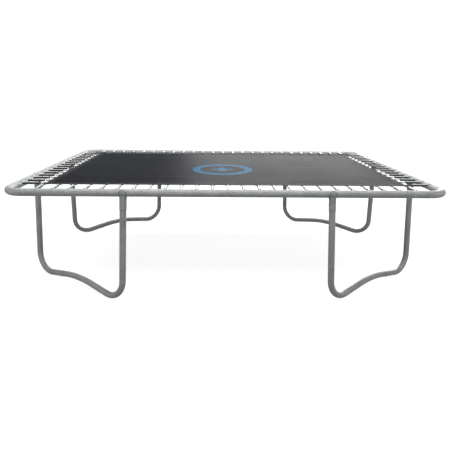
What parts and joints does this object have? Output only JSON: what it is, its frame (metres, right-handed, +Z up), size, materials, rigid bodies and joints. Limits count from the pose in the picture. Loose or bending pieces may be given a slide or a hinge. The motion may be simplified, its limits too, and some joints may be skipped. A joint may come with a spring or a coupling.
{
  "type": "rectangular trampoline",
  "caption": "Rectangular trampoline with a galvanised tube frame on bent corner legs and a woven mat hung from rows of coil springs.",
  "frame": {"origin": "on the ground, under the middle of the frame", "axes": "+X along the length, to the right in the front view; +Y from the front long side to the back one; +Z up"},
  "size_m": [3.7264, 2.5358, 0.9757],
  "materials": {
    "frame_tube": "galvanised, satin",
    "leg_socket": "galvanised, satin",
    "leg_tube": "galvanised, satin",
    "screw": "zinc plated",
    "spring": "zinc plated, bright",
    "ring": "zinc plated",
    "tab": "black webbing",
    "hem": "black webbing, stitched",
    "mat": "black woven, matt"
  },
  "bodies": {
    "frame": {"long_rail_front": "frame_tube", "long_rail_back": "frame_tube", "short_rail_left": "frame_tube", "short_rail_right": "frame_tube", "corner_rail_front_left": "frame_tube", "corner_rail_front_right": "frame_tube", "corner_rail_back_left": "frame_tube", "corner_rail_back_right": "frame_tube", "long_socket_front_left": "leg_socket", "long_socket_front_right": "leg_socket", "long_socket_back_left": "leg_socket", "long_socket_back_right": "leg_socket", "short_socket_front_left": "leg_socket", "short_socket_front_right": "leg_socket", "short_socket_back_left": "leg_socket", "short_socket_back_right": "leg_socket", "long_leg_front_left": "leg_tube", "long_leg_front_right": "leg_tube", "long_leg_back_left": "leg_tube", "long_leg_back_right": "leg_tube", "short_leg_front_left": "leg_tube", "short_leg_front_right": "leg_tube", "short_leg_back_left": "leg_tube", "short_leg_back_right": "leg_tube", "rail_joint_screws": "screw", "socket_screws": "screw", "leg_joint_screws": "screw", "springs_front": "spring", "springs_back": "spring", "springs_left": "spring", "springs_right": "spring"},
    "mat": {"rings_front": "ring", "rings_back": "ring", "rings_left": "ring", "rings_right": "ring", "tabs_front": "tab", "tabs_back": "tab", "tabs_left": "tab", "tabs_right": "tab", "hem_front": "hem", "hem_back": "hem", "hem_left": "hem", "hem_right": "hem", "jumping_mat": "mat"}
  },
  "joints": [
    {"name": "mat_bounce", "type": "slide", "parent": "frame", "child": "mat", "axis": [0, 0, 1], "range_m": [-0.3, 0], "stiffness_N_per_m": 5000, "springref_m": 0.05, "deforming": ["springs_front", "springs_back", "springs_left", "springs_right"]}
  ]
}
